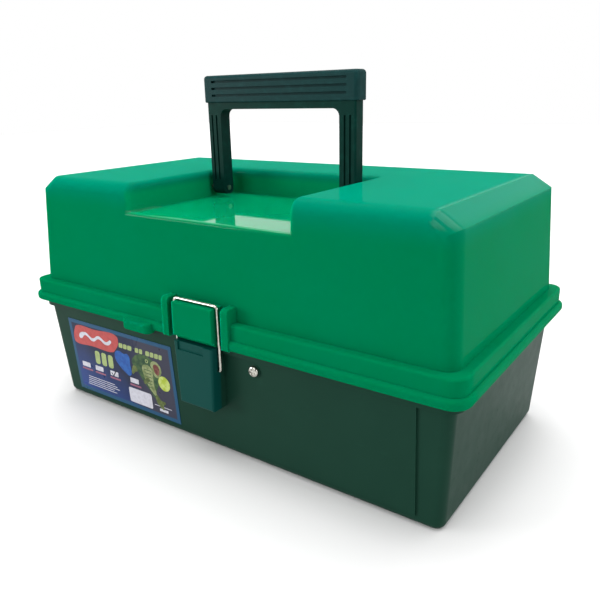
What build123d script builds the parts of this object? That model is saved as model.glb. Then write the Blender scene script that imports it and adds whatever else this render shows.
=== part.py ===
from build123d import *
import math
import os

# Fishing tackle box with a hinged lid, a fold-down carrying handle, a wire latch and three
# trays that rise and swing back with the lid on two pairs of parallel arms.
# Millimetres.  X runs along the box, Y from front to back, Z up.  The origin is the centre of
# the base's underside.  "Half" sizes are measured from the centre plane y = 0, and an outline
# of half width h has the half length h + END_EXTRA.

# ---------------------------------------------------------------- overall sizes
LENGTH = 350.0               # over the lid's bead
WIDTH = 189.0                # over the lid's bead
BASE_HEIGHT = 76.0           # from the underside to the base's flange
LID_HEIGHT = 93.6            # from the lid's lower edge to its top
WALL = 2.5                   # base and lid walls
DRAFT = 3.35                 # degrees, base and lid walls

END_EXTRA = (LENGTH - WIDTH) / 2
HALF_WIDTH = WIDTH / 2
HALF_LENGTH = LENGTH / 2

# ---------------------------------------------------------------- base
BASE_SETBACK = 8.6           # base wall inside the lid's bead, at the flange
BASE_CORNER = 6.0            # upright corners
BASE_BOTTOM_R = 5.0          # edge round the underside
FLANGE_SETBACK = 5.0         # flange inside the lid's bead
FLANGE_HEIGHT = 4.0
LIP_HEIGHT = 7.0             # lip above the flange, inside the lid's skirt
LIP_SETBACK = 6.7            # lip's outer face inside the lid's bead
PANEL_HALF = 147.0           # raised middle panel of the front and back walls
PANEL_PROUD = 1.2
PANEL_FOOT = 7.0             # lower edge of the panel above the underside
BOSS_HALF = 16.6             # latch boss on the front wall, at its top
BOSS_FOOT_HALF = 14.6        # and at its foot
BOSS_DEPTH = 3.0             # boss front face ahead of the lid's bead
BOSS_FOOT = 37.2
BOSS_EDGE_R = 1.5
BOSS_STEP_LEFT, BOSS_STEP_RIGHT = -13.0, 9.0   # shallow step in the boss's face
BOSS_STEP_FOOT = 74.4
BOSS_STEP = 1.0

# ---------------------------------------------------------------- lid
LID_GAP = 0.4                # lid's lower edge above the flange, and skirt round the lip
BEAD_HEIGHT = 6.6
BEAD_R = 2.6
BEAD_CORNER = 11.0
BAND_SETBACK = 2.5           # band above the bead
BAND_HEIGHT = 10.0
BAND_R = 1.5
LID_WALL_SETBACK = 8.5       # lid wall inside the bead, at the ledge
LID_EDGE_R = 8.5             # upright corners and long top edges
BEVEL_DROP = 8.0             # sloping ends of the lid's top
BEVEL_RUN = 12.5
RECESS_HALF = 65.5           # handle recess
RECESS_DEPTH = 19.0
RECESS_BEHIND = 19.0         # recess behind the handle's axis
RECESS_WALL = 4.5            # sides and back of the recess
RECESS_CORNER = 3.0
RECESS_RIM_R = 4.0           # less than the recess wall
RECESS_SILL_R = 2.0          # floor to front wall, less than the wall

# ---------------------------------------------------------------- handle
HANDLE_Y = 1.0               # handle axis
HANDLE_AXIS_DROP = 12.0      # handle axis below the lid's top
HANDLE_RISE = 78.8           # top of the grip above the axis
HANDLE_DEPTH = 9.6
HANDLE_LEG = 12.2
HANDLE_SIDE_GAP = 3.5        # leg to recess wall
HANDLE_FOOT = 4.6            # foot of the leg below the axis
GRIP_HEIGHT = 18.3
GRIP_OVERHANG = 2.0
CROSSBAR = 4.5
CORE_HALF_DEPTH = 3.3
CORE_HEIGHT = 10.5
HANDLE_PIN_R = 1.8
HANDLE_PIN_HEAD = 1.4
HANDLE_PIN_HEAD_R = 3.0
FRAME_INNER_R = 5.0
FRAME_OUTER_R = 1.2
FRAME_GROOVE_HALF = 0.7      # two grooves down each face of a leg
FRAME_GROOVE = 1.0
GRIP_PROUD = 1.4             # grip ahead of the frame, each face
GRIP_CORNER = 3.0
GRIP_TOP_R = 2.5
GRIP_FOOT_R = 0.8
GRIP_GROOVES = 3             # along each face of the grip
GRIP_GROOVE_HALF = 0.8
GRIP_GROOVE = 1.8
GRIP_GROOVE_END = 8.0        # groove end to the grip's end

# ---------------------------------------------------------------- wire latch
WIRE_R = 1.0
BAIL_AXIS_DROP = 11.5        # bail axis below the flange's underside
BAIL_Y_SETBACK = 2.5         # plane of the bail inside the bead's front
BAIL_SIDE_GAP = 0.4          # wire leg to the boss's side, at the boss's top
BAIL_SEAT_GAP = 0.4          # wire to the keeper's top
BAIL_REACH = 5.0             # wire ends inside the boss, from its top half width
BAIL_CORNER_R = 2.2
BAIL_FOOT_R = 1.6
KEEPER_INSET = 0.2           # keeper narrower than the boss, each side
KEEPER_FOOT = 2.8            # keeper block above the lid's lower edge
KEEPER_TOP = 25.1
KEEPER_LEAN = 0.8            # keeper's top edge behind its foot
KEEPER_DEPTH = 2.6           # keeper's foot ahead of the lid's bead
KEEPER_TOP_R = 0.8
KEEPER_FOOT_R = 1.5
SLOT_WIDTH = 6.2             # slots beside the keeper for the wire legs
RIB_WIDTH = 5.2
RIB_TOP = 26.2
RIB_DEPTH = 0.6
RIB_TOP_R = 3.0
RIB_FOOT_R = 1.0
TAB_LEFT, TAB_RIGHT = -65.0, -39.0   # finger tab on the bead
TAB_PROUD = 4.5
TAB_LOW, TAB_HIGH = -2.0, 5.2        # from the lid's lower edge
TAB_CORNER = 4.3
TAB_TOP_R = 1.2
TAB_FOOT_R = 2.0
TAB_KNURLS = 12

# ---------------------------------------------------------------- hinges
HINGE_X = 110.0
HINGE_BEHIND = 3.7           # hinge axis behind the bead
HINGE_ABOVE = 6.0            # hinge axis above the flange's underside
KNUCKLE_R = 3.2
KNUCKLE_HALF = 7.6           # lid knuckle
KNUCKLE_GAP = 0.4
KNUCKLE_OUTER = 14.0
HINGE_PIN_R = 1.5
HINGE_PIN_CHAMFER = 0.4
RUNNING = 0.08               # radial clearance of a pin in a moving part

# ---------------------------------------------------------------- trays and arms
TRAY_END_GAP = 21.0          # tray end to the end of the bead
TRAY_DEPTH = 64.0
TRAY_WALL = 1.6
TRAY_END_WALL = 2.0
TRAY_CORNER = 3.0
TRAY_GAP = 2.0               # between trays, and over the base's wall top
TRAY_FRONT_GAP = 8.0         # top tray to the lid wall's outer line
TRAY_ROOF_GAP = 4.5          # top tray to the underside of the recess
TRAY_REAR_GAP = 3.3          # first tray to the base's lip when fully open
CELLS = (5, 6, 8)            # compartments in trays 1 to 3
DIVIDER = 1.2
DIVIDER_DROP = 3.0           # divider below the tray's rim
ARM_SPACING = 20.0           # front arm to rear arm
ARM_END = 6.0                # arm pivot to the tray's nearer edge
ARM_WIDTH = 9.0
ARM_THICK = 2.0
ARM_GAP = 1.5                # tray end to arm
BOSS_R = 4.0                 # round bosses on trays, base and lid
BOSS_GAP = 0.3
RIVET_R = 2.0
RIVET_HEAD_R = 3.4
RIVET_HEAD = 1.0
EAR_R = 5.5

# ---------------------------------------------------------------- label and screw
LABEL_LEFT, LABEL_RIGHT = -143.8, -31.8
LABEL_LOW, LABEL_HIGH = 8.0, 68.0
LABEL_THICK = 0.3
SCREW_X = 41.0
SCREW_DROP = 7.4             # screw below the flange
SCREW_SHANK_R = 1.8
SCREW_HEAD_R = 3.6
SCREW_HEAD = 2.2
SCREW_LENGTH = 9.0
SCREW_HEAD_ROUND = 1.5
SCREW_PAD = 0.4              # flat pad under the head, above the panel
SCREW_PAD_R = 4.4
SCREW_RECESS = (4.4, 1.4, 0.9)   # arms of the cross recess
WASHER_R = 4.5
WASHER = 0.8
NUT_ACROSS = 6.0
NUT = 2.6

# ---------------------------------------------------------------- worked out
SLOPE = math.tan(math.radians(DRAFT))
FLANGE_TOP = BASE_HEIGHT + FLANGE_HEIGHT
LIP_TOP = FLANGE_TOP + LIP_HEIGHT
LID_LOW = FLANGE_TOP + LID_GAP
LID_TOP = LID_LOW + LID_HEIGHT
LEDGE_Z = LID_LOW + BEAD_HEIGHT + BAND_HEIGHT
LIP_OUTER = HALF_WIDTH - LIP_SETBACK
LIP_INNER = LIP_OUTER - WALL
SKIRT_INNER = LIP_OUTER + LID_GAP
RECESS_FLOOR = LID_TOP - RECESS_DEPTH
RECESS_BACK = HANDLE_Y + RECESS_BEHIND
HANDLE_Z = LID_TOP - HANDLE_AXIS_DROP
HANDLE_HALF = RECESS_HALF - HANDLE_SIDE_GAP
GRIP_LOW = HANDLE_Z + HANDLE_RISE - GRIP_HEIGHT
CORE_HALF = HANDLE_HALF - HANDLE_LEG + 2
CORE_FRONT, CORE_BACK = HANDLE_Y - CORE_HALF_DEPTH, HANDLE_Y + CORE_HALF_DEPTH
HINGE_Y = HALF_WIDTH + HINGE_BEHIND
HINGE_Z = BASE_HEIGHT + HINGE_ABOVE
BAIL_Y = -(HALF_WIDTH - BAIL_Y_SETBACK)
BAIL_Z = BASE_HEIGHT - BAIL_AXIS_DROP
BAIL_HALF = BOSS_HALF + BAIL_SIDE_GAP + WIRE_R
BAIL_TOP = LID_LOW + KEEPER_TOP + WIRE_R + BAIL_SEAT_GAP
BOSS_FRONT = -(HALF_WIDTH + BOSS_DEPTH)
KEEPER_HALF = BOSS_HALF - KEEPER_INSET
KEEPER_ROOT = -(LIP_OUTER - 4.0)

TRAY_HALF = HALF_LENGTH - TRAY_END_GAP
TRAY_1_LOW = BASE_HEIGHT + TRAY_GAP
TRAY_PITCH = (RECESS_FLOOR - WALL - TRAY_ROOF_GAP - TRAY_1_LOW + TRAY_GAP) / 3
TRAY_HEIGHT = TRAY_PITCH - TRAY_GAP
TOP_TRAY_FRONT = -(HALF_WIDTH - LID_WALL_SETBACK - TRAY_FRONT_GAP)
OPEN_REAR = LIP_INNER - TRAY_REAR_GAP
ARM_STEP = (OPEN_REAR - TOP_TRAY_FRONT - 2 * ARM_END - ARM_SPACING) / 4
ARM_IN = TRAY_HALF + ARM_GAP
ARM_OUT = ARM_IN + ARM_THICK
TOP_PIVOT_Y = TOP_TRAY_FRONT + ARM_END
TRAY_MID = TRAY_1_LOW + TRAY_HEIGHT / 2


def pivot(level, rear=False):
    """Arm pivot in the YZ plane: level 0 on the base, 1 to 3 on the trays."""
    y = TOP_PIVOT_Y + (3 - level) * ARM_STEP + (ARM_SPACING if rear else 0)
    return y, TRAY_MID + (level - 1) * TRAY_PITCH


def tray_front(level):
    """Front face of a tray: its pivots move back across it from tray 3 to tray 1."""
    share = (3 - level) / 2
    setback = ARM_END + share * (TRAY_DEPTH - 2 * ARM_END - ARM_SPACING)
    return pivot(level)[0] - setback


LINK_Y = HINGE_Y + pivot(3)[0] - pivot(0)[0]
LINK_Z = HINGE_Z + pivot(3)[1] - pivot(0)[1]


# ---------------------------------------------------------------- helpers
def outline(half, z, corner):
    return Pos(0, 0, z) * RectangleRounded(2 * (half + END_EXTRA), 2 * half, corner)


def slab(half, low, high, corner):
    return extrude(outline(half, low, corner), high - low)


def taper(half_low, low, half_high, high, corner):
    return loft([outline(half_low, low, corner), outline(half_high, high, corner)], ruled=True)


def block(x0, x1, y0, y1, z0, z1):
    size = (x1 - x0, y1 - y0, z1 - z0)
    return Pos((x0 + x1) / 2, (y0 + y1) / 2, (z0 + z1) / 2) * Box(*size)


def along_x(profile, x0, x1):
    """Extrude a face drawn in the YZ plane from x0 to x1."""
    return extrude(Pos(x0, 0, 0) * (Plane.YZ * profile), x1 - x0, dir=(1, 0, 0))


def rod_x(x0, x1, y, z, radius):
    middle = Pos((x0 + x1) / 2, y, z)
    return middle * Rot(0, 90, 0) * Cylinder(radius, abs(x1 - x0))


def rod_y(y0, y1, x, z, radius):
    middle = Pos(x, (y0 + y1) / 2, z)
    return middle * Rot(90, 0, 0) * Cylinder(radius, abs(y1 - y0))


def both_ends(make):
    """One piece at the right end and its mirror image at the left."""
    right = make()
    return right, mirror(right, about=Plane.YZ)


def save(shape, name):
    shape.label = name
    export_step(shape, f"parts/{name}.step")


# ---------------------------------------------------------------- base
def base_wall(z):
    """Half width of the base's outer face at height z."""
    return HALF_WIDTH - BASE_SETBACK - (BASE_HEIGHT - z) * SLOPE


SCREW_Z = BASE_HEIGHT - SCREW_DROP
SCREW_SEAT = -(base_wall(SCREW_Z) + PANEL_PROUD + SCREW_PAD)


def base_body(grow, low, high):
    return taper(base_wall(low) + grow, low, base_wall(high) + grow, high, BASE_CORNER)


def front_panel(grow, x0, x1, low, high):
    """A plate on the sloping front wall, as thick as grow."""
    front = block(x0, x1, -WIDTH, 0, low, high)
    return base_body(grow, 0, BASE_HEIGHT) & front


def latch_boss():
    face = Polyline((-BOSS_FOOT_HALF, BOSS_FOOT), (BOSS_FOOT_HALF, BOSS_FOOT),
                    (BOSS_HALF, FLANGE_TOP), (-BOSS_HALF, FLANGE_TOP), close=True)
    body = extrude(Plane.XZ * make_face(face), -BOSS_FRONT)
    front_edges = body.faces().sort_by(Axis.Y)[0].edges().sort_by(Axis.Z)
    body = fillet(front_edges[:-1], BOSS_EDGE_R)
    return body - block(BOSS_STEP_LEFT, BOSS_STEP_RIGHT, BOSS_FRONT - 1, BOSS_FRONT + BOSS_STEP,
                        BOSS_STEP_FOOT, FLANGE_TOP + 1)


def hinge_bracket(x):
    ears = []
    for side in (-1, 1):
        near = x + side * (KNUCKLE_HALF + KNUCKLE_GAP)
        far = x + side * KNUCKLE_OUTER
        x0, x1 = min(near, far), max(near, far)
        ear = rod_x(x0, x1, HINGE_Y, HINGE_Z, KNUCKLE_R)
        ear += block(x0, x1, LIP_OUTER - 1, HINGE_Y + KNUCKLE_R, BASE_HEIGHT + 0.5, FLANGE_TOP)
        ears.append(ear)
    return ears


def base_shell():
    body = base_body(0, 0, BASE_HEIGHT)
    body = fillet(body.faces().sort_by(Axis.Z)[0].edges(), BASE_BOTTOM_R)
    panel = base_body(PANEL_PROUD, 0, BASE_HEIGHT)
    panel &= block(-PANEL_HALF, PANEL_HALF, -WIDTH, WIDTH, PANEL_FOOT, BASE_HEIGHT)
    body += panel
    body += slab(HALF_WIDTH - FLANGE_SETBACK, BASE_HEIGHT, FLANGE_TOP, BEAD_CORNER)
    body += slab(LIP_OUTER, FLANGE_TOP, LIP_TOP, BASE_CORNER + 2)
    body += latch_boss()
    for x in (-HINGE_X, HINGE_X):
        for ear in hinge_bracket(x):
            body += ear
        body -= rod_x(x - KNUCKLE_OUTER, x + KNUCKLE_OUTER, HINGE_Y, HINGE_Z, HINGE_PIN_R)
    body += rod_y(SCREW_SEAT, SCREW_SEAT + WALL, SCREW_X, SCREW_Z, SCREW_PAD_R)
    ledge = FLANGE_TOP - WALL + 0.5
    body -= base_body(-WALL, WALL, ledge)
    body -= slab(LIP_INNER, ledge, LIP_TOP, BASE_CORNER)
    for rear in (False, True):
        y, z = pivot(0, rear)
        for side in (-1, 1):
            end = base_wall(z) + END_EXTRA - WALL / 2
            boss = rod_x(side * (ARM_OUT + BOSS_GAP), side * end, y, z, BOSS_R + 1)
            hole = rod_x(side * ARM_OUT, side * (end - WALL / 2), y, z, RIVET_R)
            body += boss
            body -= hole
    for side in (-1, 1):
        x0, x1 = sorted((side * (BOSS_HALF - BAIL_REACH - 1), side * (BOSS_HALF + 1)))
        body -= rod_x(x0, x1, BAIL_Y, BAIL_Z, WIRE_R + RUNNING)
    body -= rod_y(SCREW_SEAT - 1, SCREW_SEAT + 3 * WALL, SCREW_X, SCREW_Z, SCREW_SHANK_R)
    return body


def front_label():
    outer = front_panel(PANEL_PROUD + LABEL_THICK, LABEL_LEFT, LABEL_RIGHT, LABEL_LOW, LABEL_HIGH)
    return outer - base_body(PANEL_PROUD, 0, BASE_HEIGHT)


def front_screw():
    head = rod_y(SCREW_SEAT - SCREW_HEAD, SCREW_SEAT, SCREW_X, SCREW_Z, SCREW_HEAD_R)
    head = fillet(head.edges().group_by(Axis.Y)[0], SCREW_HEAD_ROUND)
    for turn in (0, 90):
        place = Pos(SCREW_X, SCREW_SEAT - SCREW_HEAD, SCREW_Z) * Rot(90, 0, 0) * Rot(0, 0, turn)
        head -= place * Box(*SCREW_RECESS)
    return head + rod_y(SCREW_SEAT, SCREW_SEAT + SCREW_LENGTH, SCREW_X, SCREW_Z, SCREW_SHANK_R)


def screw_inside_face():
    """The washer's seat: the inner face of the wall at the top of the washer."""
    return -(base_wall(SCREW_Z - WASHER_R) - WALL)


def front_screw_washer():
    seat = screw_inside_face()
    ring = rod_y(seat, seat + WASHER, SCREW_X, SCREW_Z, WASHER_R)
    return ring - rod_y(seat - 1, seat + 2, SCREW_X, SCREW_Z, SCREW_SHANK_R)


def front_screw_nut():
    seat = screw_inside_face() + WASHER
    nut = extrude(RegularPolygon(NUT_ACROSS / 2, 6, major_radius=False), NUT)
    nut = Pos(SCREW_X, seat, SCREW_Z) * Rot(-90, 0, 0) * nut
    return nut - rod_y(seat - 1, seat + NUT + 1, SCREW_X, SCREW_Z, SCREW_SHANK_R)


def hinge_pin(x):
    pin = rod_x(x - KNUCKLE_OUTER, x + KNUCKLE_OUTER, HINGE_Y, HINGE_Z, HINGE_PIN_R)
    return chamfer(pin.edges().filter_by(GeomType.CIRCLE), HINGE_PIN_CHAMFER)


# ---------------------------------------------------------------- lid
def lid_wall(z):
    """Half width of the lid's outer face at height z."""
    return HALF_WIDTH - LID_WALL_SETBACK - (z - LEDGE_Z) * SLOPE


def lid_block(inset, low):
    """The lid above its ledge: tapered walls, sloping ends and rounded long edges."""
    top = LID_TOP - inset
    bevel = top - BEVEL_DROP
    low_half, top_half = lid_wall(low) - inset, lid_wall(top) - inset
    end_low, end_bevel = low_half + END_EXTRA, lid_wall(bevel) - inset + END_EXTRA
    end_top = end_bevel - BEVEL_RUN
    across = Polyline((-low_half, low), (low_half, low), (top_half, top), (-top_half, top), close=True)
    lengthways = Polyline((-end_low, low), (end_low, low), (end_bevel, bevel), (end_top, top),
                          (-end_top, top), (-end_bevel, bevel), close=True)
    body = extrude(Plane.YZ * make_face(across), LENGTH, both=True)
    body &= extrude(Plane.XZ * make_face(lengthways), WIDTH, both=True)
    long_edges = [e for e in body.edges()
                  if abs(e.center().Y) > top_half - 1 and e.center().Z > low + 0.5]
    return fillet(long_edges, LID_EDGE_R - inset)


def front_rounded(body, top_radius, foot_radius):
    """Rounds the front top and front bottom edges of a bar drawn along x."""
    body = fillet(body.edges().filter_by(Axis.X).group_by(Axis.Z)[-1].sort_by(Axis.Y)[0], top_radius)
    return fillet(body.edges().filter_by(Axis.X).group_by(Axis.Z)[0].sort_by(Axis.Y)[0], foot_radius)


def keeper():
    foot, top = LID_LOW + KEEPER_FOOT, LID_LOW + KEEPER_TOP
    front = -(HALF_WIDTH + KEEPER_DEPTH)
    face = Polyline((KEEPER_ROOT, foot), (front, foot), (front + KEEPER_LEAN, top), (KEEPER_ROOT, top),
                    close=True)
    body = along_x(make_face(face), -KEEPER_HALF, KEEPER_HALF)
    return front_rounded(body, KEEPER_TOP_R, KEEPER_FOOT_R)


def keeper_rib(side):
    foot, top = LID_LOW, LID_LOW + RIB_TOP
    front = -(HALF_WIDTH + RIB_DEPTH)
    face = Polyline((KEEPER_ROOT, foot), (front, foot), (front + KEEPER_LEAN, top), (KEEPER_ROOT, top),
                    close=True)
    near = KEEPER_HALF + SLOT_WIDTH
    x0, x1 = sorted((side * near, side * (near + RIB_WIDTH)))
    body = along_x(make_face(face), x0, x1)
    return front_rounded(body, RIB_TOP_R, RIB_FOOT_R)


def finger_tab():
    low, high = LID_LOW + TAB_LOW, LID_LOW + TAB_HIGH
    front = -(HALF_WIDTH + TAB_PROUD)
    tab = block(TAB_LEFT, TAB_RIGHT, front, -HALF_WIDTH + 2, low, high)
    tab = fillet(tab.edges().filter_by(Axis.Z).group_by(Axis.Y)[0], TAB_CORNER)
    for face, radius in ((0, TAB_FOOT_R), (-1, TAB_TOP_R)):
        edges = tab.faces().sort_by(Axis.Z)[face].edges()
        tab = fillet([edge for edge in edges if edge.center().Y < -HALF_WIDTH], radius)
    first, last = TAB_LEFT + TAB_CORNER, TAB_RIGHT - TAB_CORNER
    pitch = (last - first) / TAB_KNURLS
    for i in range(TAB_KNURLS):
        x = first + (i + 0.5) * pitch
        tab -= block(x - pitch / 4, x + pitch / 4, front - 1, front + 1.6, high - 1.6, high + 1)
    return tab


def recess_rim(body):
    """The edges where the handle recess meets the lid's top and front wall."""
    rim = []
    for edge in body.edges():
        middle = edge.center()
        if not -RECESS_HALF - 0.1 < middle.X < RECESS_HALF + 0.1 or middle.Y > RECESS_BACK + 0.1:
            continue
        on_side = abs(abs(middle.X) - RECESS_HALF) < 0.01 and middle.Z > RECESS_FLOOR + 0.5
        on_top = abs(middle.Z - LID_TOP) < 0.01
        in_pin_hole = abs(middle.Y - HANDLE_Y) < 0.01
        if on_top or (on_side and middle.Y < RECESS_BACK - RECESS_CORNER - 0.5 and not in_pin_hole):
            rim.append(edge)
    return rim


def recess_sill(body):
    """The edges where the recess's floor meets the lid's front wall."""
    return [edge for edge in body.edges()
            if abs(edge.center().Z - RECESS_FLOOR) < 0.01 and edge.center().Y < -RECESS_BACK - 10
            and abs(edge.center().X) < RECESS_HALF - 10]


def lid_knuckle(x):
    body = rod_x(x - KNUCKLE_HALF, x + KNUCKLE_HALF, HINGE_Y, HINGE_Z, KNUCKLE_R)
    body += block(x - KNUCKLE_HALF, x + KNUCKLE_HALF, HALF_WIDTH - 2, HINGE_Y, LID_LOW, HINGE_Z + KNUCKLE_R)
    return body - rod_x(x - KNUCKLE_HALF, x + KNUCKLE_HALF, HINGE_Y, HINGE_Z, HINGE_PIN_R + RUNNING)


def lid_shell():
    bead_top = LID_LOW + BEAD_HEIGHT
    bead = slab(HALF_WIDTH, LID_LOW, bead_top, BEAD_CORNER)
    bead = fillet(bead.edges().group_by(Axis.Z)[0] + bead.edges().group_by(Axis.Z)[-1], BEAD_R)
    band = slab(HALF_WIDTH - BAND_SETBACK, LID_LOW + 1, LEDGE_Z, BEAD_CORNER - BAND_SETBACK)
    band = fillet(band.edges().group_by(Axis.Z)[-1], BAND_R)
    body = bead + band + lid_block(0, bead_top)
    body += keeper()
    for side in (-1, 1):
        body += keeper_rib(side)
        x0, x1 = sorted((side * KEEPER_HALF, side * (KEEPER_HALF + SLOT_WIDTH)))
        slot_floor = BAIL_Y + WIRE_R + BAIL_SIDE_GAP
        body -= block(x0, x1, -WIDTH, slot_floor, LID_LOW - 1, LEDGE_Z + 1)
    body += finger_tab()
    ledge_under = LEDGE_Z - WALL
    hollow = lid_block(WALL, ledge_under - 1)
    side = RECESS_HALF + RECESS_WALL
    hollow -= block(-side, side, -WIDTH, RECESS_BACK + RECESS_WALL, RECESS_FLOOR - WALL, LID_TOP)
    body -= hollow
    body -= slab(SKIRT_INNER, LID_LOW - 5, ledge_under, BASE_CORNER + 2)
    recess = block(-RECESS_HALF, RECESS_HALF, -WIDTH, RECESS_BACK, RECESS_FLOOR, LID_TOP + 1)
    body -= fillet(recess.edges().filter_by(Axis.Z).group_by(Axis.Y)[-1], RECESS_CORNER)
    for x in (-HINGE_X, HINGE_X):
        body += lid_knuckle(x)
    for side in (-1, 1):
        end = lid_wall(LINK_Z) + END_EXTRA - WALL / 2
        start = TRAY_HALF + BOSS_GAP
        body += rod_x(side * start, side * end, LINK_Y, LINK_Z, BOSS_R)
        body -= rod_x(side * (start - 1), side * (end - WALL / 2), LINK_Y, LINK_Z, RIVET_R)
        wall = RECESS_HALF + RECESS_WALL
        body -= rod_x(side * (RECESS_HALF - 1), side * (wall + 1), HANDLE_Y, HANDLE_Z, HANDLE_PIN_R)
    body = fillet(recess_rim(body), RECESS_RIM_R)
    return fillet(recess_sill(body), RECESS_SILL_R)


def handle_pin():
    inner = HANDLE_HALF - HANDLE_LEG - 0.5
    wall = RECESS_HALF + RECESS_WALL
    pin = rod_x(inner, wall, HANDLE_Y, HANDLE_Z, HANDLE_PIN_R)
    return pin + rod_x(wall, wall + HANDLE_PIN_HEAD, HANDLE_Y, HANDLE_Z, HANDLE_PIN_HEAD_R)


# ---------------------------------------------------------------- handle
def handle_frame():
    foot, bar = HANDLE_Z - HANDLE_FOOT, GRIP_LOW - CROSSBAR
    front, back = HANDLE_Y - HANDLE_DEPTH / 2, HANDLE_Y + HANDLE_DEPTH / 2
    inside = HANDLE_HALF - HANDLE_LEG
    body = block(-HANDLE_HALF, HANDLE_HALF, front, back, foot, GRIP_LOW)
    gap = block(-inside, inside, front - 1, back + 1, foot - 1, bar)
    body -= fillet(gap.edges().filter_by(Axis.Y).group_by(Axis.Z)[-1], FRAME_INNER_R)
    body = fillet(body.edges().filter_by(Axis.X).group_by(Axis.Z)[0], HANDLE_FOOT - 0.5)
    upright = body.edges().filter_by(Axis.Z).group_by(Axis.X)
    body = fillet(upright[0] + upright[-1], FRAME_OUTER_R)
    for side in (-1, 1):
        for share in (1 / 3, 2 / 3):
            x = side * (inside + share * HANDLE_LEG)
            for face, sign in ((front, -1), (back, 1)):
                y0, y1 = sorted((face + sign, face - sign * FRAME_GROOVE))
                body -= block(x - FRAME_GROOVE_HALF, x + FRAME_GROOVE_HALF, y0, y1, HANDLE_Z + 6, bar - 4)
        x0, x1 = side * (inside - 1), side * (HANDLE_HALF + 1)
        body -= rod_x(x0, x1, HANDLE_Y, HANDLE_Z, HANDLE_PIN_R + RUNNING)
    return body + block(-CORE_HALF, CORE_HALF, CORE_FRONT, CORE_BACK, GRIP_LOW - 1, GRIP_LOW + CORE_HEIGHT)


def handle_grip():
    half = HANDLE_HALF + GRIP_OVERHANG
    front = HANDLE_Y - HANDLE_DEPTH / 2 - GRIP_PROUD
    back = HANDLE_Y + HANDLE_DEPTH / 2 + GRIP_PROUD
    low, high = GRIP_LOW, GRIP_LOW + GRIP_HEIGHT
    body = block(-half, half, front, back, low, high)
    body = fillet(body.edges().filter_by(Axis.Z), GRIP_CORNER)
    body = fillet(body.faces().sort_by(Axis.Z)[-1].edges(), GRIP_TOP_R)
    body = fillet(body.faces().sort_by(Axis.Z)[0].edges(), GRIP_FOOT_R)
    reach = half - GRIP_GROOVE_END
    for i in range(GRIP_GROOVES):
        z = low + GRIP_HEIGHT * (i + 1.05) / (GRIP_GROOVES + 1)
        for face, sign in ((front, -1), (back, 1)):
            y0, y1 = sorted((face + sign, face - sign * GRIP_GROOVE))
            groove = block(-reach, reach, y0, y1, z - GRIP_GROOVE_HALF, z + GRIP_GROOVE_HALF)
            body -= fillet(groove.edges().filter_by(Axis.Y), 0.95 * GRIP_GROOVE_HALF)
    return body - block(-CORE_HALF, CORE_HALF, CORE_FRONT, CORE_BACK, low - 1, low + CORE_HEIGHT)


# ---------------------------------------------------------------- wire latch
def latch_bail():
    inner = BOSS_HALF - BAIL_REACH
    path = FilletPolyline((-inner, BAIL_Y, BAIL_Z), (-BAIL_HALF, BAIL_Y, BAIL_Z),
                          (-BAIL_HALF, BAIL_Y, BAIL_TOP), (BAIL_HALF, BAIL_Y, BAIL_TOP),
                          (BAIL_HALF, BAIL_Y, BAIL_Z), (inner, BAIL_Y, BAIL_Z),
                          radius=[BAIL_FOOT_R, BAIL_CORNER_R, BAIL_CORNER_R, BAIL_FOOT_R])
    section = Plane(origin=path @ 0, z_dir=path % 0) * Circle(WIRE_R)
    return sweep(section, path=path)


# ---------------------------------------------------------------- trays and arms
def tray(level):
    front, (_, middle) = tray_front(level), pivot(level)
    low, high = middle - TRAY_HEIGHT / 2, middle + TRAY_HEIGHT / 2
    rear = front + TRAY_DEPTH
    body = block(-TRAY_HALF, TRAY_HALF, front, rear, low, high)
    body = fillet(body.edges().filter_by(Axis.Z), TRAY_CORNER)
    inner = TRAY_HALF - TRAY_END_WALL
    body -= block(-inner, inner, front + TRAY_WALL, rear - TRAY_WALL, low + TRAY_WALL, high + 1)
    for side in (-1, 1):
        if level == 3:
            ear = make_hull(
                (Pos(LINK_Y, LINK_Z) * Circle(EAR_R)).edges()
                + (Pos(rear - 14, middle) * Rectangle(16, TRAY_HEIGHT - 4)).edges()
            )
            x0, x1 = sorted((side * inner, side * TRAY_HALF))
            body += along_x(ear, x0, x1)
            body -= rod_x(side * (inner - 1), side * (TRAY_HALF + 1), LINK_Y, LINK_Z, RIVET_R + 3 * RUNNING)
        for rear_arm in (False, True):
            y, z = pivot(level, rear_arm)
            body += rod_x(side * inner, side * (ARM_IN - BOSS_GAP), y, z, BOSS_R)
            body -= rod_x(side * (inner - 1), side * ARM_IN, y, z, RIVET_R)
    return body


def tray_dividers(level):
    front, (_, middle) = tray_front(level), pivot(level)
    low, high = middle - TRAY_HEIGHT / 2 + TRAY_WALL, middle + TRAY_HEIGHT / 2 - DIVIDER_DROP
    inner = TRAY_HALF - TRAY_END_WALL
    plates = []
    for i in range(1, CELLS[level - 1]):
        x = -inner + 2 * inner * i / CELLS[level - 1]
        plates.append(block(x - DIVIDER / 2, x + DIVIDER / 2, front + TRAY_WALL,
                            front + TRAY_DEPTH - TRAY_WALL, low, high))
    return Compound(children=plates)


def rivet(side, x_in, x_out, y, z):
    """A rivet across an end joint, with a head at its inner end."""
    shank = rod_x(side * x_in, side * x_out, y, z, RIVET_R)
    head = rod_x(side * (x_in - RIVET_HEAD), side * x_in, y, z, RIVET_HEAD_R)
    return shank + head


def tray_rivets(level):
    pieces = []
    for side in (-1, 1):
        for rear in (False, True):
            y, z = pivot(level, rear)
            body = rivet(side, TRAY_HALF - TRAY_END_WALL, ARM_OUT + BOSS_GAP, y, z)
            tail = ARM_OUT + BOSS_GAP
            body += rod_x(side * tail, side * (tail + RIVET_HEAD), y, z, RIVET_HEAD_R)
            pieces.append(body)
    return Compound(children=pieces)


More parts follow.
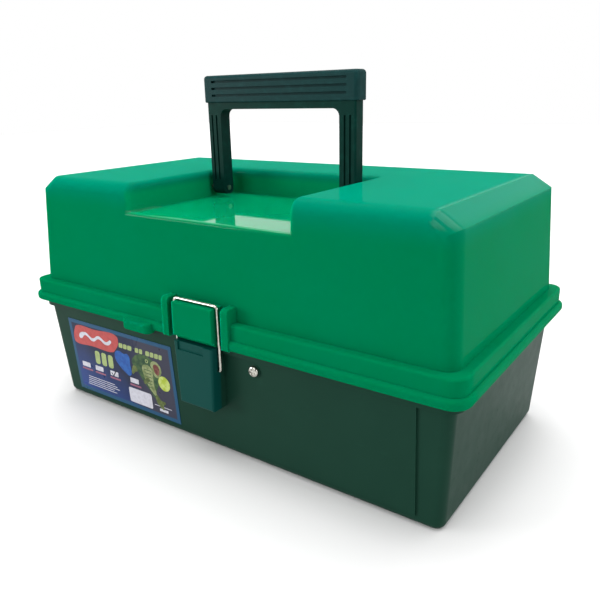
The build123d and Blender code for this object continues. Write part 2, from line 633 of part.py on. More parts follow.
def base_rivets():
    pieces = []
    for side in (-1, 1):
        for rear in (False, True):
            y, z = pivot(0, rear)
            end = base_wall(z) + END_EXTRA - WALL
            pieces.append(rivet(side, ARM_IN - BOSS_GAP, end, y, z))
    return Compound(children=pieces)


def link_rivets():
    inner = TRAY_HALF - TRAY_END_WALL - BOSS_GAP
    end = lid_wall(LINK_Z) + END_EXTRA - WALL
    return Compound(children=[rivet(side, inner, end, LINK_Y, LINK_Z) for side in (-1, 1)])


def arm(side, rear):
    (y0, z0), (y1, z1) = pivot(0, rear), pivot(3, rear)
    x = side * ARM_IN if side > 0 else -ARM_OUT
    plane = Plane(origin=(x, (y0 + y1) / 2, (z0 + z1) / 2), x_dir=(0, y1 - y0, z1 - z0), z_dir=(1, 0, 0))
    bar = extrude(plane * SlotCenterToCenter(math.hypot(y1 - y0, z1 - z0), ARM_WIDTH), ARM_THICK)
    for level in range(4):
        y, z = pivot(level, rear)
        bar -= rod_x(x - 1, x + ARM_THICK + 1, y, z, RIVET_R + RUNNING)
    return bar


# ---------------------------------------------------------------- write the parts
os.makedirs("parts", exist_ok=True)

save(base_shell(), "base_shell")
save(front_label(), "front_label")
save(front_screw(), "front_screw")
save(front_screw_washer(), "front_screw_washer")
save(front_screw_nut(), "front_screw_nut")
save(base_rivets(), "base_arm_rivets")
save(lid_shell(), "lid_shell")
save(link_rivets(), "lid_link_rivets")
save(handle_frame(), "handle_frame")
save(handle_grip(), "handle_grip")
save(latch_bail(), "latch_bail")
for end, pin in zip(("right", "left"), both_ends(handle_pin)):
    save(pin, f"handle_pin_{end}")
for end, side in (("left", -1), ("right", 1)):
    save(hinge_pin(side * HINGE_X), f"hinge_pin_{end}")
    save(arm(side, False), f"front_arm_{end}")
    save(arm(side, True), f"rear_arm_{end}")
for number in (1, 2, 3):
    save(tray(number), f"tray_{number}")
    save(tray_dividers(number), f"tray_{number}_dividers")
    save(tray_rivets(number), f"tray_{number}_rivets")
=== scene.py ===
import math

import bmesh
import bpy
from bpy.props import FloatProperty, FloatVectorProperty, IntProperty, PointerProperty
from bpy.types import Operator, Panel, PropertyGroup
from mathutils import Matrix, Vector


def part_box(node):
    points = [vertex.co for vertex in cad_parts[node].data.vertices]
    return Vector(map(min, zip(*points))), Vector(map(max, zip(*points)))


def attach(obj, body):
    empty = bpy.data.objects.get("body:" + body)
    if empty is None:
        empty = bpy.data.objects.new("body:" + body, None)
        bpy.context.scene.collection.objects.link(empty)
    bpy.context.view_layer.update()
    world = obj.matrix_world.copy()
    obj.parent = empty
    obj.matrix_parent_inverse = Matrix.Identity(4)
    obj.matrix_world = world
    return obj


bl_info = {
    "name": "Fishing Tackle Box",
    "version": (1, 0, 0),
    "blender": (4, 5, 0),
    "location": "View3D > Sidebar > Tackle Box",
    "description": "Finishes, label print and studio for a fishing tackle box",
    "category": "Object",
}

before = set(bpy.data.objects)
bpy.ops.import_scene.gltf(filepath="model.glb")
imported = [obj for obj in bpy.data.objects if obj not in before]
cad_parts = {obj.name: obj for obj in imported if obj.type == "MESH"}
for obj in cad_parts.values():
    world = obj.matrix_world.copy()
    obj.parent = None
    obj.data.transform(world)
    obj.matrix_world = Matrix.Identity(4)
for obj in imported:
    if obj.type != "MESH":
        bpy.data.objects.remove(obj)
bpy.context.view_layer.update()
MM = 0.001
DRAFT = math.radians(3.35)      # slope of the moulded walls


# ------------------------------------------------------------------ shader building
class Value:
    """A number socket of a material; arithmetic on it adds Math nodes."""

    def __init__(self, finish, socket):
        self.finish, self.socket = finish, socket

    def math(self, operation, *operands):
        inputs = dict(enumerate(operands))
        node = self.finish.node("ShaderNodeMath", {"operation": operation}, inputs)
        return Value(self.finish, node.outputs[0])

    def __add__(self, other):
        return self.math("ADD", self, other)

    def __radd__(self, other):
        return self.math("ADD", other, self)

    def __sub__(self, other):
        return self.math("SUBTRACT", self, other)

    def __rsub__(self, other):
        return self.math("SUBTRACT", other, self)

    def __mul__(self, other):
        return self.math("MULTIPLY", self, other)

    def __rmul__(self, other):
        return self.math("MULTIPLY", other, self)

    def __truediv__(self, other):
        return self.math("DIVIDE", self, other)

    def lesser(self, other):
        return self.math("MINIMUM", self, other)

    def clamped(self):
        return self.math("MAXIMUM", self, 0.0).lesser(1.0)

    def ramp(self, low, high):
        """0 at low, 1 at high, clamped and eased between them."""
        settings = {"interpolation_type": "SMOOTHSTEP"}
        sockets = {"Value": self, "From Min": low, "From Max": high}
        node = self.finish.node("ShaderNodeMapRange", settings, sockets)
        return Value(self.finish, node.outputs[0])


class Finish:
    """One material: a Principled shader whose varying sockets are fed by Value expressions."""

    def __init__(self, name, **constants):
        self.material = bpy.data.materials.new(name)
        self.material.use_nodes = True
        self.tree = self.material.node_tree
        self.shader = self.tree.nodes["Principled BSDF"]
        for socket, value in constants.items():
            self.shader.inputs[socket.replace("_", " ")].default_value = value
        self.place = self.node("ShaderNodeTexCoord", {}, {}).outputs["Object"]
        split = self.node("ShaderNodeSeparateXYZ", {}, {"Vector": self.place})
        self.x, self.y, self.z = (Value(self, socket) / MM for socket in split.outputs)

    def node(self, kind, settings, inputs):
        """A node with its settings, and with the values or links of its sockets."""
        made = self.tree.nodes.new(kind)
        for name, value in settings.items():
            setattr(made, name, value)
        for name, value in inputs.items():
            socket = made.inputs[name]
            if isinstance(value, Value):
                value = value.socket
            if isinstance(value, bpy.types.NodeSocket):
                self.tree.links.new(value, socket)
            elif socket.type == "RGBA":
                socket.default_value = (*value, 1.0)
            else:
                socket.default_value = value
        return made

    def noise(self, size, detail=2.0, stretch=(1, 1, 1)):
        """Noise from 0 to 1 whose features are about size millimetres across."""
        mapping = self.node("ShaderNodeMapping", {}, {"Vector": self.place, "Scale": stretch})
        sockets = {"Vector": mapping.outputs[0], "Scale": 1 / (size * MM), "Detail": detail}
        return Value(self, self.node("ShaderNodeTexNoise", {}, sockets).outputs["Fac"])

    def blend(self, share, first, second):
        """A colour that goes from first to second as share goes from 0 to 1."""
        node = self.node("ShaderNodeMix", {"data_type": "RGBA"}, {0: share, 6: first, 7: second})
        return node.outputs[2]

    def relief(self, height, depth):
        """Bumps the surface by height, a Value from 0 to 1, times depth in millimetres."""
        sockets = {"Height": height, "Distance": depth * MM, "Strength": 1.0}
        bump = self.node("ShaderNodeBump", {}, sockets)
        self.feed(Normal=bump.outputs[0])

    def feed(self, **sockets):
        """Links Values or colours to the shader's sockets, named with underscores for spaces."""
        for name, value in sockets.items():
            source = value.socket if isinstance(value, Value) else value
            self.tree.links.new(source, self.shader.inputs[name.replace("_", " ")])


def shaded(colour, factor, lift=0.0):
    """A colour made darker or paler."""
    return tuple(channel * factor + lift for channel in colour)


def clothe(node_names, finish):
    """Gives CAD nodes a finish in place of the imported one."""
    for name in node_names:
        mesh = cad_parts[name].data
        mesh.materials.clear()
        mesh.materials.append(finish.material)


# ------------------------------------------------------------------ settings
def colour_property(name, description, default):
    return FloatVectorProperty(name=name, description=description, default=default,
                               subtype="COLOR", size=3, min=0.0, max=1.0)


class TackleBoxColours(PropertyGroup):
    # painted light: the lid is painted paler towards its top, from the skirt colour to this one, in place of
    # light falling on the top
    lid_painted_lit_top: colour_property("Lid crown", "Lid colour near its top", (0.0, 0.136, 0.080))
    # painted light: the handle recess is painted paler, in place of the light and reflections inside it
    lid_recess_painted_light: colour_property("Lid pocket", "Lid colour inside the handle recess", (0.0, 0.182, 0.070))
    lid_skirt: colour_property("Lid skirt", "Lid colour near its rim", (0.0, 0.118, 0.042))
    base: colour_property("Base", "Moulded base", (0.0040, 0.0235, 0.0145))
    # painted reflection: the latch boss is painted a brighter teal, in place of light reflected from the
    # green lid
    boss_painted_reflection: colour_property("Boss", "Latch boss of the base", (0.0012, 0.037, 0.031))
    handle: colour_property("Handle", "Handle frame", (0.0009, 0.0195, 0.0148))
    grip: colour_property("Grip", "Handle grip", (0.0052, 0.0258, 0.0256))
    tray: colour_property("Trays", "Trays and dividers", (0.012, 0.105, 0.055))
    label_edge: colour_property("Label edge", "Border of the label", (0.008, 0.052, 0.112))
    label_ground: colour_property("Label ground", "Ground of the label", (0.006, 0.011, 0.034))
    label_water: colour_property("Label water", "Water at the label's left", (0.012, 0.036, 0.15))
    label_slate: colour_property("Label slate", "Ground at the label's right", (0.026, 0.027, 0.045))
    label_red: colour_property("Label banner", "Banner of the label", (0.33, 0.052, 0.050))
    label_lime: colour_property("Label lime", "Bars of the label", (0.24, 0.30, 0.12))
    label_white: colour_property("Label white", "Pale marks of the label", (0.42, 0.42, 0.47))


class TackleBoxPrint(PropertyGroup):
    border: FloatProperty(name="Border", description="Width of the label's border", unit="LENGTH",
                          default=3.0 * MM, min=0.0, max=0.01)
    ink: FloatProperty(name="Ink", description="Thickness of each printed layer", unit="LENGTH",
                       default=0.04 * MM, min=0.00001, max=0.0002)
    lines: IntProperty(name="Lines", description="Thin lines of the lower left block",
                       default=5, min=1, max=9)


class TackleBoxStudio(PropertyGroup):
    place: FloatVectorProperty(name="Camera place", description="Where the camera stands", subtype="XYZ",
                               unit="LENGTH", default=(0.26592, -0.35167, 0.22668))
    azimuth: FloatProperty(name="Azimuth", description="Camera direction round the box",
                           subtype="ANGLE", default=0.626)
    elevation: FloatProperty(name="Elevation", description="Camera direction above level",
                             subtype="ANGLE", default=0.316)
    roll: FloatProperty(name="Roll", description="Camera turn about its own axis",
                        subtype="ANGLE", default=-0.024)
    lens: FloatProperty(name="Lens", description="Focal length", unit="CAMERA", default=37.563)
    shift: FloatVectorProperty(name="Shift", description="Camera shift as shares of the frame",
                               size=2, default=(0.0038, -0.0011))
    left: FloatProperty(name="Left", description="Light from the front left", default=2.7)
    front: FloatProperty(name="Front", description="Light from above the front", default=1.2)
    right: FloatProperty(name="Right", description="Light from the right end", default=1.8)
    top: FloatProperty(name="Top", description="Wide light from overhead", default=4.0)
    near: FloatProperty(name="Near", description="Brightness of the room in front", default=0.30)
    far: FloatProperty(name="Far", description="Brightness of the room behind the box", default=1.0)


# ------------------------------------------------------------------ finishes
# Regions in millimetres: where each starts to fade in, and where it is full.
LIT_TOP_PAINT_BELOW_TOP = (20, -1)      # painted light: the lid's top is painted paler, below its highest point
POCKET_SIDE = (70, 67)          # handle recess, painted paler as painted light and reflection, from the middle of the lid
POCKET_FRONT = (-83, -81)
POCKET_FOOT = (152, 154)
POCKET_BELOW_TOP = (2, 9)
RECESS_FLOOR = (156.5, 155.5)   # polished floor of the recess
TOP_GLOSS = (-82, -74)          # the top is glossier than the front wall
BEVEL_ALONG = (146, 150)        # sloping right end of the lid's top
BEVEL_UP = (164, 168)
BOSS_FACE = (-89.6, -90.2)      # latch boss, ahead of the base's front wall: painted reflection, a brighter teal
GRIP_EDGE = 0.2                 # half the width of the change from handle frame to grip

PLAIN_GLOSS = 0.02              # clear coat of the lid's top
RECESS_GLOSS = 0.85             # added on the floor of the recess
BEVEL_GLOSS = 0.20              # added on the sloping right end
DIVIDER_LIFT = 1.35             # the dividers are this much paler than the trays


def lid_finish(colours):
    """Glossy emerald plastic that lets a little light through, with painted light: paler on its top and in
    the handle recess.
    """
    lid = Finish("lid_plastic", IOR=1.5, Specular_IOR_Level=0.0, Coat_Roughness=0.03, Coat_IOR=1.5,
                 Subsurface_Weight=0.5, Subsurface_Radius=(0.2, 1.0, 0.6), Subsurface_Scale=4 * MM)
    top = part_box("lid_shell")[1].z / MM
    below, above = LIT_TOP_PAINT_BELOW_TOP
    lit_top_paint = lid.z.ramp(top - below, top - above)
    cloud = lid.noise(55, 3)
    # painted highlight: the share rises towards the lid's top so the top is painted paler; the cloud noise is
    # random tone
    share = (0.12 + lit_top_paint + 0.3 * (cloud - 0.5)).clamped()
    shell = lid.blend(share, colours.lid_skirt, colours.lid_painted_lit_top)
    outside, inside = POCKET_SIDE
    pocket = lid.x.ramp(-outside, -inside) * lid.x.ramp(outside, inside) * lid.y.ramp(*POCKET_FRONT)
    rim, wall = POCKET_BELOW_TOP
    pocket = pocket * lid.z.ramp(*POCKET_FOOT) * lid.z.ramp(top - rim, top - wall)
    # painted light and reflection: the handle recess is painted a paler green than the rest of the lid
    lid.feed(Base_Color=lid.blend(pocket, shell, colours.lid_recess_painted_light))

    haze = lid.noise(18, 4)
    scratches = lid.noise(2.2, 2, (0.06, 1, 1)).ramp(0.66, 0.74)
    lid.feed(Roughness=0.10 + 0.07 * haze + 0.10 * scratches)
    gloss = (PLAIN_GLOSS + 0.03 * haze) * lid.y.ramp(*TOP_GLOSS)
    recess = pocket * lid.z.ramp(*RECESS_FLOOR)
    end_bevel = lid.x.ramp(*BEVEL_ALONG) * lid.z.ramp(*BEVEL_UP)
    lid.feed(Coat_Weight=gloss + RECESS_GLOSS * recess + BEVEL_GLOSS * end_bevel)
    lid.relief(lid.noise(26, 1) + 0.015 * lid.noise(0.9, 2), 0.22)
    return lid


def base_finish(colours):
    """Dark satin plastic with a fine moulded skin, and a painted reflection of the lid on the latch boss."""
    base = Finish("base_plastic", IOR=1.5, Specular_IOR_Level=0.05)
    cloud = base.noise(40, 4)
    rub = base.noise(3.0, 4, (0.3, 1, 1)).ramp(0.62, 0.80)
    share = (0.55 * cloud + 0.35 * rub).clamped()
    wall = base.blend(share, colours.base, shaded(colours.base, 1.5, 0.002))
    # painted reflection: the boss's front is painted the brighter teal colour
    base.feed(Base_Color=base.blend(base.y.ramp(*BOSS_FACE), wall, colours.boss_painted_reflection))
    base.feed(Roughness=0.34 + 0.14 * base.noise(9, 3) + 0.1 * rub)
    base.relief(0.5 * base.noise(30, 1) + 0.05 * base.noise(0.7, 2), 0.25)
    return base


def handle_finish(colours):
    """Dark plastic with the finer grain of the handle."""
    handle = Finish("handle_plastic", IOR=1.48, Specular_IOR_Level=0.03)
    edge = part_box("handle_grip")[0].z / MM
    grip = handle.z.ramp(edge - GRIP_EDGE, edge + GRIP_EDGE)
    plain = handle.blend(grip, colours.handle, colours.grip)
    worn = handle.blend(grip, shaded(colours.handle, 1.6), shaded(colours.grip, 1.5))
    rub = handle.noise(5.0, 5).ramp(0.45, 0.85)
    handle.feed(Base_Color=handle.blend(rub, plain, worn))
    handle.feed(Roughness=0.34 + 0.16 * handle.noise(4, 3))
    handle.relief(handle.noise(0.6, 2), 0.03)
    return handle


def tray_finish(colour, name):
    """Smooth plastic, a little cloudy."""
    tray = Finish(name, IOR=1.5)
    tray.feed(Base_Color=tray.blend(tray.noise(35, 3), shaded(colour, 0.7), colour))
    tray.feed(Roughness=0.24 + 0.14 * tray.noise(8, 3))
    tray.relief(tray.noise(0.8, 2), 0.02)
    return tray


def metal_finish(name, shade, roughness, grain=(1, 1, 1)):
    """Plated steel, with grain as the stretch of its fine marks."""
    metal = Finish(name, Metallic=1.0)
    marks = metal.noise(1.4, 4, grain)
    metal.feed(Base_Color=metal.blend(marks.ramp(0.3, 0.7), shaded(shade, 0.72), shade))
    metal.feed(Roughness=roughness + 0.14 * marks)
    metal.relief(metal.noise(0.5, 3, grain), 0.01)
    return metal


# ------------------------------------------------------------------ label
PRINT_SHIFT = (-1.7, -0.5, 0.0)     # from the label's lower left corner to the origin of its drawing


def ink_finish(name, colour, second=None):
    """Printed ink, mottled between two close colours."""
    ink = Finish(name, IOR=1.45, Specular_IOR_Level=0.15)
    second = second or shaded(colour, 0.82)
    ink.feed(Base_Color=ink.blend(ink.noise(3.0, 4).ramp(0.35, 0.7), colour, second))
    ink.feed(Roughness=0.26 + 0.1 * ink.noise(6, 2))
    return ink


class Press:
    """Prints flat shapes, drawn in millimetres along the label and up its slope, as thin layers."""

    def __init__(self, ink):
        self.ink = ink
        low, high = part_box("front_label")
        along = Vector((1, 0, 0))
        up = Vector((0, -math.sin(DRAFT), math.cos(DRAFT)))
        self.place = Matrix((along, up, along.cross(up))).transposed().to_4x4()
        self.place.translation = (low.x, low.y + (high.z - low.z) * math.tan(DRAFT), low.z)
        self.place = self.place @ Matrix.Scale(MM, 4) @ Matrix.Translation(PRINT_SHIFT)

    def lay(self, mesh, name, layer, finish):
        """Puts a shape on the label, above the layers under it, and rides it on the base."""
        mesh.transform(Matrix.Translation((0, 0, layer * self.ink / MM)))
        mesh.transform(self.place)
        piece = bpy.data.objects.new(name, mesh)
        bpy.context.scene.collection.objects.link(piece)
        mesh.materials.clear()
        mesh.materials.append(finish.material)
        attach(piece, "base")

    def outlines(self, name, layer, finish, *outlines, smooth=True):
        """Prints one piece from rounded outlines, or from straight ones if smooth is off."""
        self.lay(outline_mesh(outlines, self.ink, smooth), name, layer, finish)

    def tiles(self, name, layer, finish, tiles, corner):
        """Prints one piece from tiles whose corners are rounded by corner."""
        self.lay(tile_mesh(tiles, self.ink, corner), name, layer, finish)


def outline_mesh(outlines, ink, smooth):
    """Filled flat shapes with an ink's thickness, each through a few points."""
    curve = bpy.data.curves.new("outline", "CURVE")
    curve.dimensions = "2D"
    curve.fill_mode = "BOTH"
    curve.extrude = ink / MM / 2
    curve.resolution_u = 6
    for points in outlines:
        spline = curve.splines.new("BEZIER")
        spline.bezier_points.add(len(points) - 1)
        spline.use_cyclic_u = True
        for knot, (u, v) in zip(spline.bezier_points, points):
            knot.co = (u, v, 0)
            knot.handle_left_type = knot.handle_right_type = "AUTO" if smooth else "VECTOR"
    holder = bpy.data.objects.new("outline", curve)
    bpy.context.scene.collection.objects.link(holder)
    bpy.context.view_layer.update()
    mesh = bpy.data.meshes.new_from_object(holder)
    bpy.data.objects.remove(holder)
    shape = bmesh.new()
    shape.from_mesh(mesh)
    bmesh.ops.remove_doubles(shape, verts=shape.verts, dist=1e-5)
    bmesh.ops.recalc_face_normals(shape, faces=shape.faces)
    shape.to_mesh(mesh)
    shape.free()
    return mesh


def tile_mesh(tiles, ink, corner):
    """Flat tiles with rounded corners; a tile is (u, v, width, height, lean)."""
    shape = bmesh.new()
    for u, v, width, height, lean in tiles:
        made = bmesh.ops.create_grid(shape, x_segments=1, y_segments=1, size=0.5)
        verts = made["verts"]
        matrix = Matrix.Translation((u + width / 2, v + height / 2, 0))
        matrix @= Matrix.Diagonal((width, height, 1, 1))
        bmesh.ops.transform(shape, matrix=matrix, verts=verts)
        for vert in verts:
            vert.co.x += lean * (vert.co.y - v - height / 2)
    bmesh.ops.bevel(shape, geom=shape.verts[:], offset=corner, offset_type="OFFSET", segments=4,
                    profile=0.5, affect="VERTICES", material=-1)
    raised = bmesh.ops.extrude_face_region(shape, geom=shape.faces[:])
    top = [item for item in raised["geom"] if isinstance(item, bmesh.types.BMVert)]
    bmesh.ops.translate(shape, vec=(0, 0, ink / MM), verts=top)
    bmesh.ops.recalc_face_normals(shape, faces=shape.faces)
    mesh = bpy.data.meshes.new("tiles")
    shape.to_mesh(mesh)
    shape.free()
    return mesh


def label_ground_finish(colours, border):
    """The printed ground: a bright border round a dark, cloudy picture of water."""
    ground = Finish("label_ground", IOR=1.45, Specular_IOR_Level=0.15)
    low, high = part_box("front_label")
    u, v = ground.x - low.x / MM, ground.z - low.z / MM
    width, height = (high.x - low.x) / MM, (high.z - low.z) / MM
    inset = u.lesser(width - u).lesser(v).lesser(height - v)
    inside = inset.ramp(border / MM - 0.25, border / MM + 0.25)
    # the water is bluest at the lower left, and the ground turns to slate on the right
    cloud = ground.noise(16, 4)
    blue = (1.15 - (v + 0.45 * u) / 46 + 0.5 * (cloud - 0.5)).clamped()
    picture = ground.blend(blue, colours.label_ground, colours.label_water)
    right = (u + 14 * (cloud - 0.5)).ramp(62, 84)
    picture = ground.blend(right, picture, colours.label_slate)
    ground.feed(Base_Color=ground.blend(inside, colours.label_edge, picture))
    ground.feed(Roughness=0.24 + 0.1 * ground.noise(20, 3))
    ground.relief(ground.noise(12, 2), 0.05)
    return ground


# ------------------------------------------------------------------ operators
class TACKLEBOX_OT_base(Operator):
    """Finish the moulded base"""
    bl_idname = "tacklebox.base"
    bl_label = "Base"

    def execute(self, context):
        clothe(["base_shell"], base_finish(context.scene.tacklebox_colours))
        return {"FINISHED"}


class TACKLEBOX_OT_lid(Operator):
    """Finish the lid"""
    bl_idname = "tacklebox.lid"
    bl_label = "Lid"

    def execute(self, context):
        clothe(["lid_shell"], lid_finish(context.scene.tacklebox_colours))
        return {"FINISHED"}


class TACKLEBOX_OT_handle(Operator):
    """Finish the handle frame and grip"""
    bl_idname = "tacklebox.handle"
    bl_label = "Handle"

    def execute(self, context):
        clothe(["handle_frame", "handle_grip"], handle_finish(context.scene.tacklebox_colours))
        return {"FINISHED"}


class TACKLEBOX_OT_trays(Operator):
    """Finish the trays and their dividers"""
    bl_idname = "tacklebox.trays"
    bl_label = "Trays"

    def execute(self, context):
        colours = context.scene.tacklebox_colours
        trays = [f"tray_{number}" for number in (1, 2, 3)]
        dividers = [f"{name}_dividers" for name in trays]
        clothe(trays, tray_finish(colours.tray, "tray_plastic"))
        clothe(dividers, tray_finish(shaded(colours.tray, DIVIDER_LIFT), "divider_plastic"))
        return {"FINISHED"}


class TACKLEBOX_OT_metalwork(Operator):
    """Finish the wire latch, arms, pins, rivets and the front screw"""
    bl_idname = "tacklebox.metalwork"
    bl_label = "Metalwork"

    def execute(self, context):
        bright = metal_finish("nickel_plate", (0.50, 0.49, 0.44), 0.16)
        strip = metal_finish("zinc_strip", (0.46, 0.48, 0.50), 0.30, (1, 0.25, 0.4))
        turned = metal_finish("turned_steel", (0.42, 0.42, 0.41), 0.24)
        clothe(["latch_bail", "front_screw"], bright)
        clothe([f"{pair}_arm_{end}" for pair in ("front", "rear") for end in ("left", "right")], strip)
        rivets = ["base_arm_rivets", "lid_link_rivets"] + [f"tray_{n}_rivets" for n in (1, 2, 3)]
        pins = [f"{kind}_pin_{end}" for kind in ("hinge", "handle") for end in ("left", "right")]
        clothe(rivets + pins + ["front_screw_washer", "front_screw_nut"], turned)
        return {"FINISHED"}


class TACKLEBOX_OT_label(Operator):
    """Print the label on the front wall"""
    bl_idname = "tacklebox.label"
    bl_label = "Label"

    def execute(self, context):
        colours, sizes = context.scene.tacklebox_colours, context.scene.tacklebox_print
        press = Press(sizes.ink)
        clothe(["front_label"], label_ground_finish(colours, sizes.border))
        red = ink_finish("ink_red", colours.label_red)
        lime = ink_finish("ink_lime", colours.label_lime)
        white = ink_finish("ink_white", colours.label_white)
        pink = ink_finish("ink_pink", (0.20, 0.075, 0.115))
        blue = ink_finish("ink_blue", (0.012, 0.075, 0.26), (0.008, 0.045, 0.20))
        black = ink_finish("ink_black", (0.012, 0.014, 0.02))
        self.banner(press, red, white)
        self.bars(press, lime, blue)
        self.boxes(press, white, pink, black)
        self.marks(press, white, sizes.lines)
        self.fish(press, lime, black)
        return {"FINISHED"}

    def banner(self, press, red, white):
        """A banner with a wave on it."""
        banner = [(10, 55.5), (33, 56.4), (57, 56.6), (58.6, 54), (52.5, 43.6), (50, 42), (27, 41.6),
                  (6, 41.4), (5, 43.5), (8, 53)]
        press.outlines("label_banner", 0, red, banner)
        wave = [(12, 47.5), (20, 52), (28, 48.6), (36, 52), (44, 48.8), (50, 51), (49, 48.6), (43, 46.4),
                (36, 49.4), (28, 46), (20, 49.6), (13, 45.8)]
        press.outlines("label_banner_wave", 1, white, wave)

    def bars(self, press, lime, blue):
        """Plain bars in place of a title and a size, and a splash of water."""
        spans = [(58.5, 4.2), (63.4, 3.8), (67.9, 4.4), (76.0, 3.6), (80.3, 3.4), (87.0, 3.8), (91.5, 3.6),
                 (95.8, 3.8), (100.3, 3.2)]
        title = [(u, 48, width, 3.8, 0.2) for u, width in spans]
        press.tiles("label_title_bars", 0, lime, title, 0.9)
        size_bars = [(27.5 + 7.6 * i, 27.6, 5.6, 11, 0.08) for i in range(3)]
        press.tiles("label_size_bars", 0, lime, size_bars, 2.0)
        splash = [(53, 43), (58, 45), (62, 43.6), (67, 44), (68, 36), (66.5, 27), (60, 29), (55, 33),
                  (52, 37)]
        press.outlines("label_splash", 0, blue, splash)

    def boxes(self, press, white, pink, black):
        """Four small boxes, each over a bar, with a tick on one."""
        spans = [(9.5, 9.6), (25.4, 9.2), (43.0, 9.0), (65.5, 9.0)]
        press.tiles("label_boxes", 1, white, [(u, 21.6, width, 4, 0.1) for u, width in spans], 0.4)
        bars = [(u - 1, 18.9, width + 3, 1.5, 0.1) for u, width in spans]
        press.tiles("label_box_bars", 0, pink, bars, 0.3)
        tick = [(45.0, 24.4), (46.2, 22.2), (49.8, 27.4), (50.7, 26.9), (46.5, 20.8), (44.0, 23.6)]
        press.outlines("label_tick", 2, black, tick, smooth=False)

    def marks(self, press, white, count):
        """Thin lines, a price sticker without print, and two marks at the foot."""
        lines = [(14.5 - 0.5 * i, 13.4 - 1.75 * i, 31 + 3 * (i % 3), 0.55, 0) for i in range(count)]
        press.tiles("label_lines", 0, white, lines, 0.1)
        press.tiles("label_price_sticker", 2, white, [(62, 4.8, 24.4, 12.2, 0.02)], 1.4)
        foot = [(93.5, 5.6, 8.6, 2.1, 0.1), (88.6, 9.3, 17.5, 0.5, 0)]
        press.tiles("label_foot_marks", 0, white, foot, 0.2)

    def fish(self, press, lime, black):
        """A leaping fish in a few flat shapes, with a lure spot beside it."""
        back = ink_finish("ink_back", (0.012, 0.040, 0.018), (0.045, 0.085, 0.030))
        belly = ink_finish("ink_belly", (0.20, 0.23, 0.11), (0.10, 0.13, 0.045))
        leaf = ink_finish("ink_leaf", (0.055, 0.075, 0.020), (0.10, 0.13, 0.040))
        mouth = ink_finish("ink_mouth", (0.075, 0.018, 0.015), (0.15, 0.055, 0.045))
        bright = ink_finish("ink_spot", (0.25, 0.32, 0.025), (0.36, 0.42, 0.13))
        body = [(70.5, 38.5), (73, 43.5), (79, 47.2), (87, 47.6), (94, 45.0), (98.4, 41.2), (97, 37.6),
                (95.4, 34.4), (97.6, 30.8), (95.6, 26), (92.5, 19.5), (94, 14), (90.2, 15.2), (85.6, 20.5),
                (80.6, 25.6), (76.6, 31.4), (73.6, 35.6)]
        press.outlines("label_fish_back", 0, back, body)
        pale = [(81.5, 38.6), (85.4, 40.4), (89.6, 39.6), (91.6, 35.6), (91.2, 30), (91.4, 24), (91.8, 17.4),
                (88.2, 19.4), (84.2, 25), (81.8, 31)]
        press.outlines("label_fish_belly", 1, belly, pale)
        scales = [(82.6 + 0.45 * i, 36.2 - 2.7 * i, 7.4 - 0.55 * i, 0.5, -0.6) for i in range(6)]
        press.tiles("label_fish_scales", 2, back, scales, 0.15)
        back_fin = [(72.6, 37), (69.6, 33.4), (69.2, 29.4), (72.6, 31.6), (75.4, 33.2)]
        gill_fin = [(86.4, 30.4), (82.6, 28.6), (80.8, 24.6), (84.8, 26), (87.6, 28.4)]
        tail = [(92.4, 18.2), (96.2, 14.8), (100.8, 13.6), (98.2, 10.8), (98.4, 7.4), (94.4, 9.4), (91.4, 13)]
        press.outlines("label_fish_fins", 2, leaf, back_fin, gill_fin, tail)
        jaw = [(90.6, 42.4), (94.6, 45.4), (99, 44), (101, 40.4), (99.4, 35.2), (95.6, 32.6), (92.4, 34.6),
               (91.2, 38.6)]
        press.outlines("label_fish_jaw", 2, belly, jaw)
        throat = [(93.0, 41.2), (96.0, 43.2), (98.8, 41.4), (99.0, 38), (96.6, 34.8), (94.2, 36.4),
                  (93.4, 39)]
        press.outlines("label_fish_throat", 3, mouth, throat)
        eye = [(85.4, 43.6), (86.9, 45.1), (88.5, 43.6), (86.9, 42.1)]
        press.outlines("label_fish_eye", 2, lime, eye)
        pupil = [(86.1, 43.6), (86.9, 44.4), (87.7, 43.6), (86.9, 42.8)]
        press.outlines("label_fish_pupil", 3, black, pupil)
        spot = [(96.4, 29.6), (102.2, 35.4), (108, 29.6), (102.2, 23.8)]
        press.outlines("label_lure_spot", 3, bright, spot)


LIGHTS = {                      # where each distant light comes from, and its spread in degrees
    "left": ((-1.16, -0.94, 0.22), 25),
    "front": ((-0.10, -1.10, 0.75), 40),
    "right": ((1.15, -0.10, 0.40), 30),
    "top": ((-0.15, 0.20, 1.60), 70),
}
FLOOR_REACH = 4.0               # metres from the middle of the floor to its edge
PAPER = (0.56, 0.56, 0.56)
HORIZON = (-0.4, 0.3)           # share of +Y in a direction, where the room turns from near to far


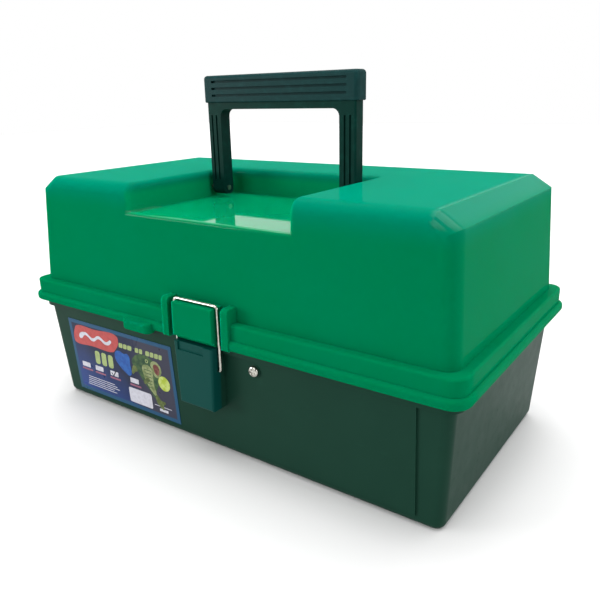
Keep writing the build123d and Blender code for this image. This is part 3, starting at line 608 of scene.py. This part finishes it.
class TACKLEBOX_OT_studio(Operator):
    """Set the pale floor, the soft lights and the camera"""
    bl_idname = "tacklebox.studio"
    bl_label = "Studio"

    def execute(self, context):
        studio = context.scene.tacklebox_studio
        self.floor(context)
        self.room(context, studio)
        for side, (place, spread) in LIGHTS.items():
            self.lamp(context, f"{side}_light", place, spread, getattr(studio, side))
        self.camera(context, studio)
        context.scene.view_settings.view_transform = "Standard"
        return {"FINISHED"}

    def floor(self, context):
        """A wide sheet of pale paper."""
        shape = bmesh.new()
        bmesh.ops.create_grid(shape, x_segments=1, y_segments=1, size=FLOOR_REACH)
        mesh = bpy.data.meshes.new("floor")
        shape.to_mesh(mesh)
        shape.free()
        floor = bpy.data.objects.new("floor", mesh)
        context.scene.collection.objects.link(floor)
        paper = Finish("floor_paper")
        paper.feed(Base_Color=paper.blend(paper.noise(300, 2), PAPER, shaded(PAPER, 0.964)))
        paper.feed(Roughness=0.6 + 0.1 * paper.noise(30, 2))
        mesh.materials.append(paper.material)

    def room(self, context, studio):
        """A white room, brighter behind the box than in front of it."""
        world = bpy.data.worlds.new("white_room")
        context.scene.world = world
        world.use_nodes = True
        tree = world.node_tree
        background = tree.nodes["Background"]
        background.inputs["Color"].default_value = (1.0, 1.0, 1.0, 1.0)
        direction = tree.nodes.new("ShaderNodeTexCoord").outputs["Generated"]
        split = tree.nodes.new("ShaderNodeSeparateXYZ")
        tree.links.new(direction, split.inputs[0])
        span = tree.nodes.new("ShaderNodeMapRange")
        span.interpolation_type = "SMOOTHSTEP"
        start, end = HORIZON
        limits = {"From Min": start, "From Max": end, "To Min": studio.near, "To Max": studio.far}
        for name, value in limits.items():
            span.inputs[name].default_value = value
        tree.links.new(split.outputs["Y"], span.inputs["Value"])
        tree.links.new(span.outputs[0], background.inputs["Strength"])

    def lamp(self, context, name, place, spread, strength):
        """A distant light in the direction of place, spread over some degrees."""
        data = bpy.data.lights.new(name, "SUN")
        data.energy = strength
        data.angle = math.radians(spread)
        lamp = bpy.data.objects.new(name, data)
        lamp.location = place
        lamp.rotation_euler = (-Vector(place)).to_track_quat("-Z", "Y").to_euler()
        context.scene.collection.objects.link(lamp)

    def camera(self, context, studio):
        """A camera at its place, turned by azimuth, elevation and roll."""
        data = bpy.data.cameras.new("camera")
        data.sensor_width = 36.0
        data.lens = studio.lens
        data.shift_x, data.shift_y = studio.shift
        data.clip_start = 0.01
        eye = bpy.data.objects.new("camera", data)
        turn = Matrix.Rotation(studio.azimuth, 4, "Z")
        tilt = Matrix.Rotation(math.pi / 2 - studio.elevation, 4, "X")
        roll = Matrix.Rotation(studio.roll, 4, "Z")
        eye.matrix_world = Matrix.Translation(studio.place) @ turn @ tilt @ roll
        context.scene.collection.objects.link(eye)
        context.scene.camera = eye


class TACKLEBOX_PT_panel(Panel):
    """Lists the operators in the order that main runs them"""
    bl_idname = "TACKLEBOX_PT_panel"
    bl_label = "Tackle Box"
    bl_space_type = "VIEW_3D"
    bl_region_type = "UI"
    bl_category = "Tackle Box"

    def draw(self, context):
        for operator in OPERATORS:
            self.layout.operator(operator.bl_idname)


OPERATORS = (
    TACKLEBOX_OT_base,
    TACKLEBOX_OT_lid,
    TACKLEBOX_OT_handle,
    TACKLEBOX_OT_trays,
    TACKLEBOX_OT_metalwork,
    TACKLEBOX_OT_label,
    TACKLEBOX_OT_studio,
)
GROUPS = (TackleBoxColours, TackleBoxPrint, TackleBoxStudio)


def register():
    for cls in (*GROUPS, *OPERATORS, TACKLEBOX_PT_panel):
        bpy.utils.register_class(cls)
    bpy.types.Scene.tacklebox_colours = PointerProperty(type=TackleBoxColours)
    bpy.types.Scene.tacklebox_print = PointerProperty(type=TackleBoxPrint)
    bpy.types.Scene.tacklebox_studio = PointerProperty(type=TackleBoxStudio)


def unregister():
    for name in ("tacklebox_colours", "tacklebox_print", "tacklebox_studio"):
        delattr(bpy.types.Scene, name)
    for cls in reversed((*GROUPS, *OPERATORS, TACKLEBOX_PT_panel)):
        bpy.utils.unregister_class(cls)


def main():
    register()
    for operator in OPERATORS:
        group, name = operator.bl_idname.split(".")
        getattr(getattr(bpy.ops, group), name)()


if __name__ == "__main__":
    main()
